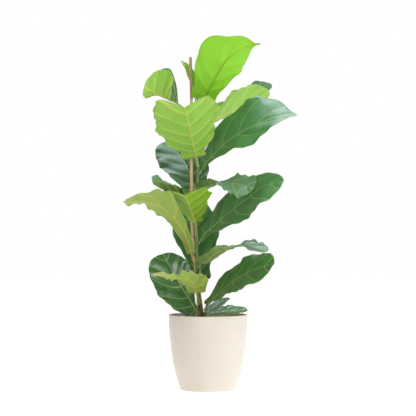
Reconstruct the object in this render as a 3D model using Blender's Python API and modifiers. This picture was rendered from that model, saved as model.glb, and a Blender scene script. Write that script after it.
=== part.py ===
"""Potted fiddle leaf fig: a single-stemmed young plant in a plain round tub.

Metres, +Z up. The origin is the middle of the pot's flat underside, and +Y is the back.
"""
import math
from dataclasses import dataclass

import bmesh
import bpy
import numpy as np
from mathutils import Vector

# ---- driving dimensions (m) -------------------------------------------------
GAP = 0.0005                 # air left between neighbouring pieces
POT_HEIGHT = 0.2085
RIM_RADIUS = 0.110
BASE_RADIUS = 0.079
POT_WALL = 0.0042
POT_FLOOR = 0.006
SOIL_TOP = 0.182             # top of the soil at the pot wall
SOIL_CROWN = 0.005           # how much the soil rises towards the stem
STEM_FOOT_RADIUS = 0.0048
STEM_TIP_RADIUS = 0.0030
STAKE_RADIUS = 0.0041
STALK_RADIUS = 0.0022
BLADE = 0.0011               # thickness of a leaf blade
RIB_DEPTH = 0.0016           # how far the midrib stands out below the blade
ROUND = 48                   # sides of the turned pieces

MM = 0.001

# centre line of the stem, from the soil up (mm)
STEM_LINE = [(-14, 0, 146), (-14, 0, 190), (-18, 0, 222), (-23, 0, 257), (-29, 0, 300), (-32, 0, 335),
             (-33, 0, 375), (-32, 0, 415), (-33, 0, 460), (-32, 0, 520), (-31, 0, 573), (-28, 0, 625),
             (-31, 0, 665), (-31, 0, 740), (-30, 0, 810)]
# centre line of the support stake, from the soil up (mm)
STAKE_LINE = [(-25, 11, 146), (-25, 11, 205), (-30, 11, 270), (-35, 10, 339), (-38, 9, 375), (-42, 6, 414),
              (-46, 4, 471), (-47, 2, 552), (-47, 1, 657), (-47, 1, 817), (-50, 2, 938)]

# one row across the half blade: place along the midrib at the margin, then where its vein leaves the midrib
BLADE_ROWS = [(-.012, .000), (-.040, .006), (-.060, .014), (-.020, .032), (.10, .07), (.25, .14), (.40, .25),
              (.56, .38), (.70, .52), (.83, .67), (.93, .82), (.985, .94), (1.0, 1.0)]
# the same for the half blade that is folded over at its base
CUPPED_ROWS = [(-.01, .00), (.04, .04), (.09, .09), (.15, .15), (.22, .22), (.22, .27), (.16, .33), (.14, .40),
               (.34, .50), (.58, .66), (.80, .82), (.95, .95), (1.0, 1.0)]
NARROWEST = 2.5              # half width of the blade where it grows out of the stalk (mm)
SOFT_FOLD = 5.0              # how far from the midrib a fold reaches its full angle (mm)
FULL_LOBE = 40               # half width of a lobe that reaches fully back past the stalk (mm)
VEIN_SWEEP = 1.35            # how strongly the rows bend forward towards the margin
ACROSS = (-1.0, -.52, -.07, 0.0, .07, .52, 1.0)


@dataclass(frozen=True)
class Leaf:
    """One leaf: where its stalk leaves the stem, its midrib, and the two halves of its blade (mm)."""

    name: str
    node: float              # height of the stalk's foot on the stem
    midrib: tuple            # points from the blade's base to its tip
    face: tuple              # direction the upper side looks in, at the base ... at the tip
    left: tuple              # half width at the lobe, waist, middle, shoulder and near the tip
    right: tuple
    fold_left: tuple = (8, 8)    # how far the half is raised, in degrees, base ... tip
    fold_right: tuple = (8, 8)
    curl_left: tuple = (0, 0)    # how much more it has turned at the margin, in degrees
    wave: float = 3.0
    notch: tuple = (0.0, 0.0)    # how far each half runs on past the tip of the midrib, as a share of it
    blunt: tuple = (.52, .52)    # width of each half just before its end, as a share of the last size
    cupped: bool = False
    finish: str = "mature"


LEAVES = [
    Leaf("leaf_top_lime", 762,
         ((-8, -10, 818), (14, -28, 858), (53, -48, 919), (104, -55, 955), (146, -60, 963)),
         ((-.1, .95, .3), (-.1, .95, .3), (.2, .6, .8)), (40, 52, 68, 62, 14), (45, 64, 84, 50, 6),
         fold_left=(40, 36), fold_right=(4, 6), curl_left=(-20, -15), wave=2, finish="young"),
    Leaf("leaf_new_narrow", 800, ((-36, 9, 838), (-45, 15, 873), (-58, 16, 907), (-77, 14, 929)),
         ((.3, -.9, .2), (.3, -.9, .2)), (3, 10, 14, 11, 5), (3, 10, 14, 11, 5), fold_left=(25, 25),
         fold_right=(25, 25), wave=0, finish="young"),
    Leaf("leaf_upper_front", 626, ((-34, -25, 652), (-47, -75, 708), (-57, -110, 748), (-64, -128, 775)),
         ((-.12, .62, .8), (-.12, .6, .8), (-.1, .75, .6)), (30, 60, 78, 98, 92), (44, 68, 92, 92, 82),
         fold_left=(8, 30), fold_right=(12, 10), notch=(0.02, 0.1), blunt=(0.7, 0.55), wave=4,
         finish="half_grown"),
    Leaf("leaf_upper_left", 768,
         ((-84, -25, 799), (-124, -90, 809), (-151, -140, 817), (-171, -165, 824)),
         ((-.8, .5, .1), (-.8, .5, .1)), (3, 20, 68, 80, 56), (92, 84, 50, 30, 20), fold_left=(-5, 0),
         fold_right=(105, 80, 20, 0), cupped=True, wave=2, finish="half_grown"),
    Leaf("leaf_upper_right", 701, ((-3, 8, 744), (40, 35, 776), (107, 65, 816), (181, 85, 842)),
         ((-.1, .4, .9), (0, .45, .9)), (50, 50, 60, 55, 30), (70, 70, 80, 70, 36), fold_left=(10, 5),
         fold_right=(10, 5), wave=5),
    Leaf("leaf_right_broad", 603,
         ((-11, -15, 628), (53, -50, 689), (113, -85, 724), (183, -110, 751), (241, -125, 754)),
         ((-.25, -.62, .72), (-.2, -.75, .6), (.1, -.6, .8)), (48, 78, 104, 100, 40),
         (26, 46, 80, 66, 16), fold_left=(4, 2), fold_right=(12, 4), blunt=(.25, .5), wave=4),
    Leaf("leaf_back_right", 735, ((-4, 34, 770), (60, 91, 797), (126, 138, 847), (180, 168, 893)),
         ((-.3, -.6, .7), (-.3, -.6, .7)), (8, 12, 28, 46, 38), (8, 12, 28, 46, 38), wave=3),
    Leaf("leaf_back_left_upper", 542, ((-37, 24, 560), (-55, 58, 617), (-82, 95, 667), (-124, 125, 712)),
         ((.1, -.75, .65), (.1, -.75, .65)), (40, 62, 80, 76, 52), (42, 56, 66, 60, 45),
         fold_left=(5, 5), fold_right=(25, 15), wave=4),
    Leaf("leaf_left_folded", 513,
         ((-39, -20, 532), (-75, -62, 535), (-114, -105, 549), (-148, -135, 566)),
         ((.1, -.6, .8), (.1, -.6, .8)), (24, 26, 29, 28, 20), (22, 42, 66, 66, 46), fold_left=(78, 72),
         fold_right=(10, 5), wave=3),
    Leaf("leaf_left_arching", 350,
         ((-48, -16, 383), (-69, -60, 441), (-109, -100, 492), (-156, -130, 518), (-223, -165, 518)),
         ((-.2, .42, .85), (-.1, .42, .88), (0, .3, .95)), (14, 16, 35, 66, 32), (14, 20, 34, 42, 34),
         wave=5, finish="half_grown"),
    Leaf("leaf_centre_front", 428,
         ((-36, -22, 467), (-47, -75, 501), (-57, -120, 526), (-64, -150, 535)),
         ((-.1, .35, .93), (0, .4, .9)), (24, 38, 54, 68, 62), (26, 43, 59, 68, 57), fold_left=(10, 14),
         fold_right=(30, 24), notch=(.04, .04), wave=3),
    Leaf("leaf_right_twisted", 530,
         ((-25, -14, 560), (0, -38, 571), (30, -62, 575), (79, -90, 569), (125, -115, 556)),
         ((0, .7, .7), (0, .35, .95), (0, -.3, .95), (0, -.75, .65), (0, -.8, .6)), (20, 26, 40, 36, 38),
         (20, 26, 46, 56, 50), fold_left=(10, 10), fold_right=(10, 10), wave=4),
    Leaf("leaf_right_long", 406,
         ((-14, -16, 428), (42, -55, 477), (96, -95, 519), (148, -130, 558), (203, -150, 573)),
         ((-.3, -.65, .7), (-.2, -.7, .7), (.1, -.6, .8)), (38, 60, 84, 62, 36), (24, 48, 90, 108, 80),
         wave=4),
    Leaf("leaf_back_tall", 288, ((-17, 25, 312), (-30, 54, 384), (-38, 82, 459), (-44, 105, 536)),
         ((0, -.8, .6), (0, -.8, .6)), (24, 38, 66, 66, 40), (27, 44, 70, 62, 40), wave=4),
    Leaf("leaf_right_arching", 310,
         ((-17, -16, 353), (11, -45, 372), (47, -75, 391), (103, -112, 399), (158, -140, 383)),
         ((-.2, .5, .85), (0, .2, .95), (.1, -.25, .95), (.3, -.4, .85)), (26, 28, 40, 54, 30),
         (24, 26, 40, 60, 34), wave=5),
    Leaf("leaf_low_right", 206, ((-3, -21, 236), (50, -55, 287), (106, -95, 326), (178, -138, 353)),
         ((-.2, -.55, .8), (-.1, -.6, .8)), (23, 48, 66, 64, 44), (14, 42, 80, 98, 74), wave=4),
    Leaf("leaf_low_back", 198, ((-4, 22, 216), (18, 52, 226), (40, 82, 240), (62, 110, 250)),
         ((-.2, -.6, .8), (-.2, -.6, .8)), (14, 16, 18, 15, 8), (14, 16, 18, 15, 8), wave=1),
    Leaf("leaf_over_rim", 196, ((0, -10, 210), (39, -15, 216), (76, -10, 217), (111, -5, 222)),
         ((0, -.28, 1), (0, -.28, 1)), (28, 34, 40, 36, 20), (28, 34, 40, 36, 20), wave=2),
    Leaf("leaf_low_left", 207,
         ((-34, -10, 219), (-58, -21, 259), (-83, -27, 301), (-105, -25, 339), (-128, -12, 378)),
         ((.3, -.8, .5), (.2, -.85, .5), (0, -.4, .9)), (44, 64, 80, 78, 52), (12, 27, 56, 54, 36),
         wave=4),
    Leaf("leaf_low_front", 240,
         ((-33, -46, 272), (-38, -80, 297), (-57, -115, 312), (-99, -145, 314), (-148, -165, 325)),
         ((0, .5, .85), (0, .4, .9), (0, .2, .97), (0, .05, 1)), (30, 40, 45, 45, 30),
         (28, 38, 45, 45, 30), wave=4, finish="half_grown"),
]

# dried bud scales beside the stem: height (mm), direction they point in seen from above (degrees)
SCALES = [(224, 200), (272, 340), (330, 20), (372, 215), (420, 180), (470, 335), (592, 150), (640, 30),
          (676, 200)]


# ---- materials --------------------------------------------------------------
def finish(name, colour, roughness, metallic=0.0):
    """A Principled material with a plain colour."""
    mat = bpy.data.materials.new(name)
    mat.use_nodes = True
    shader = mat.node_tree.nodes["Principled BSDF"]
    shader.inputs["Base Color"].default_value = (*colour, 1.0)
    shader.inputs["Roughness"].default_value = roughness
    shader.inputs["Metallic"].default_value = metallic
    mat.diffuse_color = (*colour, 1.0)
    return mat


LEAF_FINISHES = {"young": ((.22, .50, .04), .42), "half_grown": ((.17, .33, .06), .42),
                 "mature": ((.06, .16, .04), .36)}


# ---- scene helpers ----------------------------------------------------------
def clear_scene():
    """Empty the scene."""
    for obj in list(bpy.data.objects):
        bpy.data.objects.remove(obj, do_unlink=True)


def collection(name):
    """A new collection in the scene."""
    made = bpy.data.collections.new(name)
    bpy.context.scene.collection.children.link(made)
    return made


def add_mesh(name, mesh_data, where, mat, smooth=True):
    """Turn a bmesh into a named object with one material."""
    mesh = bpy.data.meshes.new(name)
    bmesh.ops.recalc_face_normals(mesh_data, faces=mesh_data.faces)
    mesh_data.to_mesh(mesh)
    mesh_data.free()
    for face in mesh.polygons:
        face.use_smooth = smooth
    obj = bpy.data.objects.new(name, mesh)
    where.objects.link(obj)
    obj.data.materials.append(mat)
    return obj


def turned(name, profile, where, mat):
    """A solid of revolution from a (radius, height) profile that runs down the outer side."""
    shape = bmesh.new()
    verts = [shape.verts.new((radius, 0.0, height)) for radius, height in profile]
    for first, second in zip(verts, verts[1:]):
        shape.edges.new((first, second))
    mesh = bpy.data.meshes.new(name)
    shape.to_mesh(mesh)
    shape.free()
    obj = bpy.data.objects.new(name, mesh)
    where.objects.link(obj)
    screw = obj.modifiers.new("turn", "SCREW")
    screw.steps = ROUND
    screw.render_steps = ROUND
    screw.use_merge_vertices = True
    screw.merge_threshold = 0.0001
    screw.use_normal_calculate = True
    obj.data.materials.append(mat)
    return obj


def cane(name, line, radii, where, mat):
    """A round rod along a line of points, with a radius at each point."""
    curve = bpy.data.curves.new(name, "CURVE")
    curve.dimensions = "3D"
    curve.bevel_depth = 1.0
    curve.bevel_resolution = 2
    curve.use_fill_caps = True
    spline = curve.splines.new("POLY")
    spline.points.add(len(line) - 1)
    for point, place, radius in zip(spline.points, line, radii):
        point.co = (*(c * MM for c in place), 1.0)
        point.radius = radius
    obj = bpy.data.objects.new(name, curve)
    where.objects.link(obj)
    obj.data.materials.append(mat)
    return obj


# ---- curves -----------------------------------------------------------------
def smooth_line(points, steps):
    """A smooth curve through the points, with the given number of steps to a span."""
    pts = np.asarray(points, float)
    padded = np.vstack([2 * pts[0] - pts[1], pts, 2 * pts[-1] - pts[-2]])
    out = []
    for k in range(len(pts) - 1):
        a, b, c, d = padded[k:k + 4]
        for f in np.arange(steps) / steps:
            out.append(.5 * (2 * b + (c - a) * f + (2 * a - 5 * b + 4 * c - d) * f ** 2
                             + (3 * b - a - 3 * c + d) * f ** 3))
    return np.array(out + [pts[-1]])


def blend(values, t):
    """A value from a short list, spread evenly over 0 to 1."""
    rows = np.atleast_2d(np.asarray(values, float).T)
    return np.array([np.interp(t, np.linspace(0, 1, rows.shape[1]), row) for row in rows])


def unit(vector):
    """The vector at length 1."""
    return vector / np.linalg.norm(vector)


def stem_at(height):
    """Centre and radius of the stem at a height in mm."""
    line = np.array(STEM_LINE, float)
    centre = np.array([np.interp(height, line[:, 2], line[:, axis]) for axis in range(3)])
    share = (height - line[0, 2]) / (line[-1, 2] - line[0, 2])
    return centre, (STEM_FOOT_RADIUS + (STEM_TIP_RADIUS - STEM_FOOT_RADIUS) * share) / MM


# ---- pot and soil -----------------------------------------------------------
def pot_outline(inset):
    """The tub's side from the rim down, moved inwards by an inset (m)."""
    side = [(RIM_RADIUS, POT_HEIGHT), (.1096, .169), (.1082, .149), (.1054, .120), (.1022, .094),
            (.0980, .070),
            (.0916, .044), (.0856, .022), (BASE_RADIUS + .0024, .0095)]
    return [(radius - inset, height) for radius, height in side]


def build_pot(where):
    """Round tub with a rounded lip, a thin wall and a flat underside."""
    lip = POT_HEIGHT
    outer = [(RIM_RADIUS - .0031, lip), (RIM_RADIUS - .0011, lip), (RIM_RADIUS - .0002, lip - .0008)]
    outer += [(RIM_RADIUS, lip - .0022)] + pot_outline(0)[1:]
    foot = [(BASE_RADIUS + .0012, .0055), (BASE_RADIUS - .0008, .0016), (BASE_RADIUS - .0035, 0.0), (0.0, 0.0)]
    inner = [(radius, height) for radius, height in reversed(pot_outline(POT_WALL)) if height > POT_FLOOR][:-1]
    inside = [(0.0, POT_FLOOR), (BASE_RADIUS - .006, POT_FLOOR)] + inner
    inside += [(RIM_RADIUS - POT_WALL, lip - .0022), (RIM_RADIUS - POT_WALL + .0002, lip - .0008)]
    profile = outer + foot + inside + [outer[0]]
    return turned("pot", profile, where, finish("pot_cream_plastic", (.80, .76, .70), .38))


def build_soil(where, cutters):
    """Potting mix filling the tub, with sockets for the stem and the stake."""
    wall = [(radius - GAP, height) for radius, height in pot_outline(POT_WALL) if height < SOIL_TOP]
    at_top = np.interp(SOIL_TOP, [.169, POT_HEIGHT], [.1096, RIM_RADIUS]) - POT_WALL - GAP
    crown = [(0.0, SOIL_TOP + SOIL_CROWN), (.030, SOIL_TOP + .8 * SOIL_CROWN),
             (.075, SOIL_TOP + .2 * SOIL_CROWN)]
    bottom = POT_FLOOR + GAP
    profile = crown + [(at_top, SOIL_TOP)] + wall + [(BASE_RADIUS - .007, bottom), (0.0, bottom)]
    soil = turned("potting_soil", profile, where, finish("dark_potting_mix", (.045, .030, .020), .95))
    for name, line, radius in (("stem_socket", STEM_LINE, STEM_FOOT_RADIUS),
                               ("stake_socket", STAKE_LINE, STAKE_RADIUS)):
        x, y, z = (c * MM for c in line[0])
        cut_socket(soil, name, (x, y, z - GAP), radius + GAP, cutters)
    return soil


def cut_socket(soil, name, foot, radius, cutters):
    """Cut one upright round hole in the soil, from its foot to above the surface."""
    depth = .30 - foot[2]
    shape = bmesh.new()
    bmesh.ops.create_cone(shape, cap_ends=True, segments=20, radius1=radius, radius2=radius, depth=depth)
    cutter = add_mesh(name, shape, cutters, soil.data.materials[0])
    cutter.location = (foot[0], foot[1], foot[2] + depth / 2)
    cutter.hide_render = True
    cutter.display_type = "WIRE"
    cut = soil.modifiers.new(name, "BOOLEAN")
    cut.operation = "DIFFERENCE"
    cut.solver = "EXACT"
    cut.object = cutter


# ---- stem and stake ---------------------------------------------------------
def build_stem(where):
    """Slim woody stem that leans and bends a little, thinner towards the top."""
    radii = [stem_at(point[2])[1] * MM for point in STEM_LINE]
    return cane("stem", STEM_LINE, radii, where, finish("young_bark", (.13, .14, .06), .75))


def build_stake(where):
    """Round wooden stick that holds the stem up."""
    radii = [STAKE_RADIUS] * (len(STAKE_LINE) - 1) + [STAKE_RADIUS * .9]
    return cane("support_stake", STAKE_LINE, radii, where, finish("pale_stake_wood", (.70, .50, .33), .7))


def build_terminal_bud(where, mat):
    """Pointed sheath over the growing tip, standing on the end of the stem."""
    shape = bmesh.new()
    bmesh.ops.create_cone(shape, cap_ends=True, segments=10, radius1=.0029, radius2=.0006, depth=.030)
    bud = add_mesh("terminal_bud", shape, where, mat)
    x, y, z = STEM_LINE[-1]
    bud.location = (x * MM, y * MM, z * MM + GAP + .015)
    return bud


def build_scale(index, height, heading, where, mat):
    """A dried bud scale that leans out from the stem at a leaf scar."""
    centre, radius = stem_at(height)
    turn = math.radians(heading)
    out = Vector((math.cos(turn), math.sin(turn), 0.0))
    shape = bmesh.new()
    bmesh.ops.create_uvsphere(shape, u_segments=8, v_segments=6, radius=1.0)
    for vert in shape.verts:
        along = .5 * (vert.co.z + 1.0)
        vert.co = Vector((vert.co.x * .0011 + .0022 * along ** 2, vert.co.y * .0024 * (1.1 - .7 * along),
                          along * .011))
    scale = add_mesh(f"bud_scale_{index + 1}", shape, where, mat)
    scale.location = Vector(centre * MM) + out * (radius * MM + .0011 + 2 * GAP)
    scale.rotation_euler = (0.0, 0.0, turn)
    return scale


# ---- leaves -----------------------------------------------------------------
class Midrib:
    """The midrib as a curve with a frame: along it, across to the right half, and out of the upper side."""

    def __init__(self, leaf):
        self.leaf = leaf
        self.line = smooth_line(leaf.midrib, 24)
        steps = np.linalg.norm(np.diff(self.line, axis=0), axis=1)
        self.reach = np.concatenate([[0.0], np.cumsum(steps)])
        self.length = self.reach[-1]

    def point(self, share):
        """The point at a share of the length; before the base it runs on straight."""
        at = share * self.length
        inside = np.array([np.interp(at, self.reach, self.line[:, axis]) for axis in range(3)])
        return inside + min(at, 0.0) * self.heading(0.0)

    def heading(self, share):
        """The direction of growth at a share of the length."""
        at = np.clip(share, 0, 1) * self.length
        span = self.length * .01
        ends = [np.array([np.interp(np.clip(at + d, 0, self.length), self.reach, self.line[:, axis])
                          for axis in range(3)]) for d in (-span, span)]
        return unit(ends[1] - ends[0])

    def frame(self, share):
        """Point, side direction and upper-face direction at a share of the length."""
        ahead = self.heading(share)
        face = blend(self.leaf.face, np.clip(share, 0, 1))
        face = unit(face - face.dot(ahead) * ahead)
        return self.point(share), np.cross(ahead, face), face


def half_widths(sizes, blunt):
    """Half width at every row of the blade, from the five sizes of its outline and how blunt its end is."""
    lobe, waist, middle, shoulder, tip = sizes
    below_tip = max(.6 * shoulder + .4 * tip, .5 * (shoulder + tip))
    widths = [0.0, .35 * lobe, .66 * lobe, .95 * lobe, lobe, waist, .5 * (waist + middle), middle, shoulder,
              below_tip, tip, blunt * tip]
    return [max(width, NARROWEST) for width in widths] + [.8]


def blade_row(leaf, rib, row):
    """Upper and lower points of one row, from the left margin to the right one."""
    upper, lower = [], []
    for v in ACROSS:
        right = v > 0
        margin, root = (CUPPED_ROWS if leaf.cupped and not right else BLADE_ROWS)[row]
        margin += leaf.notch[right] * (0, .35, .7, 1.0, 0)[max(row - 8, 0)]
        sizes = leaf.right if right else leaf.left
        margin *= min(sizes[0] / FULL_LOBE, 1.0) if 0 < row < 4 and margin < 0 else 1.0
        share = root + (margin - root) * abs(v) ** VEIN_SWEEP
        reach = half_widths(sizes, leaf.blunt[right])[row] * abs(v)
        centre, side, face = rib.frame(share)
        side = side if right else -side
        fold = math.radians(blend(leaf.fold_right if right else leaf.fold_left, share)[0])
        curl = 0.0 if right else math.radians(blend(leaf.curl_left, share)[0])
        soft = min(reach / SOFT_FOLD, 1.0)
        lift, lean = ((fold + part * curl * reach / max(leaf.left)) * soft for part in (.5, 1.0))
        ripple = (leaf.wave * math.sin(math.tau * (3 * share + (0 if right else .37)))
                  * (reach / max(sizes)) ** 2)
        out = side * math.cos(lift) + face * math.sin(lift)
        normal = face * math.cos(lean) - side * math.sin(lean)
        place = centre + out * reach + normal * ripple
        swell = RIB_DEPTH * math.exp(-(v / .1) ** 2) * (1.1 - share)
        upper.append(place + normal * (.5 * BLADE / MM))
        lower.append(place - normal * ((.5 * BLADE + swell) / MM))
    return upper, lower


def stalk_rings(leaf, rib, count):
    """Round sections of the leaf stalk from the stem to the base of the blade."""
    base, side, face = rib.frame(0.0)
    ahead = rib.heading(0.0)
    centre, stem_radius = stem_at(leaf.node)
    out = base - centre
    out[2] = 0.0
    out = unit(out)
    rise = unit(unit(base - centre) + out * .6)
    radius = STALK_RADIUS / MM
    start = centre + out * (stem_radius + GAP / MM + radius * abs(rise[2]) + .1)
    pull = np.linalg.norm(base - start)
    rings = []
    for t in np.linspace(0, .80, count):
        h = [2 * t ** 3 - 3 * t ** 2 + 1, t ** 3 - 2 * t ** 2 + t, 3 * t ** 2 - 2 * t ** 3, t ** 3 - t ** 2]
        g = [6 * t ** 2 - 6 * t, 3 * t ** 2 - 4 * t + 1, 6 * t - 6 * t ** 2, 3 * t ** 2 - 2 * t]
        place = h[0] * start + h[1] * pull * rise + h[2] * base + h[3] * pull * ahead
        along = unit(g[0] * start + g[1] * pull * rise + g[2] * base + g[3] * pull * ahead)
        up = unit(face - face.dot(along) * along)
        across = np.cross(along, up)
        size = radius * (1 + .12 * (1 - t) ** 3)
        angles = [math.pi * ((k + .5) / len(ACROSS) - .5) for k in range(len(ACROSS))]
        top = [place + size * (across * math.sin(a) + up * math.cos(a)) for a in angles]
        under = [place + size * (across * math.sin(a) - up * math.cos(a)) for a in angles]
        rings.append((top, under))
    return rings


def split_alike(shape, around):
    """Cut the four-sided faces in two along their shorter diagonal, the same one above and below a blade."""
    top = around // 2 - 1
    other = {"FIXED": "ALTERNATE", "ALTERNATE": "FIXED"}
    chosen, split = {}, {"FIXED": [], "ALTERNATE": []}
    for face in sorted(shape.faces, key=lambda face: min(vert.index for vert in face.verts)):
        row, column = divmod(min(vert.index for vert in face.verts), around + 1)
        a, b, c, d = (vert.co for vert in face.verts)
        if column <= top:
            chosen[row, column] = "FIXED" if (a - c).length <= (b - d).length else "ALTERNATE"
            split[chosen[row, column]].append(face)
        else:
            split[other[chosen[row, max(2 * top - column, 0)]]].append(face)
    for method, faces in split.items():
        bmesh.ops.triangulate(shape, faces=faces, quad_method=method)


def build_leaf(leaf, where, mats):
    """One leaf as a closed skin: stalk, then blade with its midrib standing out below."""
    rib = Midrib(leaf)
    rings = stalk_rings(leaf, rib, 5) + [blade_row(leaf, rib, row) for row in range(len(BLADE_ROWS))]
    around = 2 * len(ACROSS)
    shape = bmesh.new()
    bmesh.ops.create_grid(shape, x_segments=around, y_segments=len(rings) - 1, size=1.0)
    shape.verts.ensure_lookup_table()
    for row, (upper, lower) in enumerate(rings):
        loop = upper + lower[::-1]
        for column in range(around + 1):
            shape.verts[row * (around + 1) + column].co = Vector(loop[column % around]) * MM
    split_alike(shape, around)
    bmesh.ops.remove_doubles(shape, verts=shape.verts, dist=1e-6)
    bmesh.ops.holes_fill(shape, edges=[edge for edge in shape.edges if edge.is_boundary], sides=0)
    return add_mesh(leaf.name, shape, where, mats[leaf.finish])


# ---- the plant --------------------------------------------------------------
def build():
    """Build every piece of the potted plant."""
    clear_scene()
    plant = collection("potted_fiddle_leaf_fig")
    cutters = collection("cutters")
    build_pot(plant)
    build_soil(plant, cutters)
    build_stem(plant)
    build_stake(plant)
    leaf_mats = {name: finish(f"leaf_{name}", *look) for name, look in LEAF_FINISHES.items()}
    for leaf in LEAVES:
        build_leaf(leaf, plant, leaf_mats)
    dried = finish("dried_bud_scale", (.06, .028, .014), .8)
    build_terminal_bud(plant, dried)
    for index, (height, heading) in enumerate(SCALES):
        build_scale(index, height, heading, plant, dried)


build()
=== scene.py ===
"""Potted fiddle leaf fig: the visual model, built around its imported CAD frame."""
import logging
import math
from dataclasses import dataclass, field, replace
from enum import Enum
from typing import Any

import bmesh
import bpy
import numpy as np
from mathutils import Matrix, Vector, noise


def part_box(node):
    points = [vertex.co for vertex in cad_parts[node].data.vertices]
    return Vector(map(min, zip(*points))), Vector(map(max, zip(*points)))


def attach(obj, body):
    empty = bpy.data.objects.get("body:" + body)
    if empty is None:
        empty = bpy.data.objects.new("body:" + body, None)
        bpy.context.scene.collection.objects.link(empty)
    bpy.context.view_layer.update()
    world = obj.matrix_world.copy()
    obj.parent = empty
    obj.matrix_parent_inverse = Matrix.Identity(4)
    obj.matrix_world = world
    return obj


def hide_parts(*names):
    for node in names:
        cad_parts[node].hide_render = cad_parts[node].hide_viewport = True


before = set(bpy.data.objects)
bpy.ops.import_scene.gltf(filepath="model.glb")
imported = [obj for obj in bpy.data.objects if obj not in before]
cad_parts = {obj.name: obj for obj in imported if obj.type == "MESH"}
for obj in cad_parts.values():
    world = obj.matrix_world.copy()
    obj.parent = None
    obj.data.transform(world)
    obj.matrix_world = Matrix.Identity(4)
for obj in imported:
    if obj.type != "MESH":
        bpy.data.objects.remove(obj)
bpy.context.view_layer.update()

LOG = logging.getLogger("fiddle_leaf_fig")
MM = 0.001
Point = tuple[float, float, float]
Tone = tuple[float, float, float, float]


# ---- small helpers ----------------------------------------------------------
def linear(tone: str) -> Tone:
    """Turn an sRGB hex colour into linear light.

    Args:
        tone: Colour as "#RRGGBB".

    Returns:
        Red, green, blue and an alpha of 1.
    """
    parts = [int(tone[k:k + 2], 16) / 255 for k in (1, 3, 5)]
    light = [c / 12.92 if c <= .04045 else ((c + .055) / 1.055) ** 2.4 for c in parts]
    return (*light, 1.0)


def add(tree: bpy.types.NodeTree, kind: str, inputs: dict[Any, Any] | None = None, **settings: Any) -> Any:
    """Add one shader node with its settings, values and links.

    Args:
        tree: Node tree that gets the node.
        kind: Node type, without its "ShaderNode" prefix.
        inputs: Socket name or index to a value, or to the output socket that feeds it.
        **settings: Properties of the node itself.

    Returns:
        The node.
    """
    made = tree.nodes.new("ShaderNode" + kind)
    for name, value in settings.items():
        setattr(made, name, value)
    for name, value in (inputs or {}).items():
        if isinstance(value, bpy.types.NodeSocket):
            tree.links.new(value, made.inputs[name])
        else:
            made.inputs[name].default_value = value
    return made


def shader_of(name: str, **values: Any) -> tuple[bpy.types.Material, bpy.types.NodeTree, Any]:
    """Make a material with a Principled shader.

    Args:
        name: Material name.
        **values: Values of the shader's sockets, with underscores for spaces.

    Returns:
        The material, its node tree and the shader node.
    """
    mat = bpy.data.materials.new(name)
    mat.use_nodes = True
    shader = mat.node_tree.nodes["Principled BSDF"]
    for socket, value in values.items():
        shader.inputs[socket.replace("_", " ")].default_value = value
    return mat, mat.node_tree, shader


def spline(values: Any, t: np.ndarray) -> np.ndarray:
    """Run a smooth curve through evenly spaced values.

    Args:
        values: Rows of numbers, one row per knot.
        t: Places along the knots, 0 at the first one.

    Returns:
        One row per place.
    """
    knots = np.asarray(values, float)
    knots = knots[:, None] if knots.ndim == 1 else knots
    padded = np.vstack([2 * knots[0] - knots[1], knots, 2 * knots[-1] - knots[-2]])
    t = np.asarray(t, float)
    first = np.clip(np.floor(t).astype(int), 0, len(knots) - 2)
    f = (t - first)[..., None]
    a, b, c, d = (padded[first + k] for k in range(4))
    return .5 * (2 * b + (c - a) * f + (2 * a - 5 * b + 4 * c - d) * f ** 2
                 + (3 * b - a - 3 * c + d) * f ** 3)


def spread(values: Any, t: np.ndarray) -> np.ndarray:
    """Read a short list of values, spread evenly over 0 to 1.

    Args:
        values: The values, first to last.
        t: Places to read them at, 0 to 1.

    Returns:
        One value per place.
    """
    knots = np.atleast_1d(np.asarray(values, float))
    return np.interp(np.clip(t, 0, 1), np.linspace(0, 1, len(knots)), knots)


def unit(vectors: np.ndarray) -> np.ndarray:
    """Scale each vector to a length of 1."""
    return vectors / np.linalg.norm(vectors, axis=-1, keepdims=True)


def dot(a: np.ndarray, b: np.ndarray) -> np.ndarray:
    """Dot product of vectors, with the last axis kept."""
    return (a * b).sum(-1, keepdims=True)


def finish_piece(shape: bmesh.types.BMesh, name: str, mats: list[bpy.types.Material],
                 nodes: tuple[str, ...] = ()) -> bpy.types.Object:
    """Turn a bmesh into a finished piece that rides on the plant's one body.

    Args:
        shape: The modelled shape, in metres; it is freed.
        name: Name of the piece.
        mats: Materials of the piece, in slot order.
        nodes: CAD nodes that the piece replaces.

    Returns:
        The object.
    """
    mesh = bpy.data.meshes.new(name)
    shape.to_mesh(mesh)
    shape.free()
    mesh.shade_smooth()
    piece = bpy.data.objects.new(name, mesh)
    bpy.context.scene.collection.objects.link(piece)
    for mat in mats:
        mesh.materials.append(mat)
    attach(piece, "root")
    if nodes:
        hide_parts(*nodes)
    LOG.info("%s: %d faces", name, len(mesh.polygons))
    return piece


def wrap(rings: np.ndarray, layers: dict[str, np.ndarray] | None = None) -> bmesh.types.BMesh:
    """Wrap a grid round a stack of closed rings and close both ends.

    Args:
        rings: Points in mm, one row per ring.
        layers: Vertex attribute name to four numbers per point.

    Returns:
        A closed shape in metres.
    """
    count, around = rings.shape[:2]
    shape = bmesh.new()
    bmesh.ops.create_grid(shape, x_segments=around, y_segments=count - 1, size=1.0)
    shape.verts.ensure_lookup_table()
    seam = np.concatenate([rings, rings[:, :1]], axis=1).reshape(-1, 3) * MM
    for vert, place in zip(shape.verts, seam):
        vert.co = Vector(place)
    for name, values in (layers or {}).items():
        layer = shape.verts.layers.float_color.new(name)
        rows = np.concatenate([values, values[:, :1]], axis=1).reshape(-1, 4)
        for vert, row in zip(shape.verts, rows):
            vert[layer] = Vector(row)
    bmesh.ops.remove_doubles(shape, verts=shape.verts, dist=1e-6)
    bmesh.ops.holes_fill(shape, edges=[edge for edge in shape.edges if edge.is_boundary], sides=0)
    bmesh.ops.recalc_face_normals(shape, faces=shape.faces)
    return shape


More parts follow.
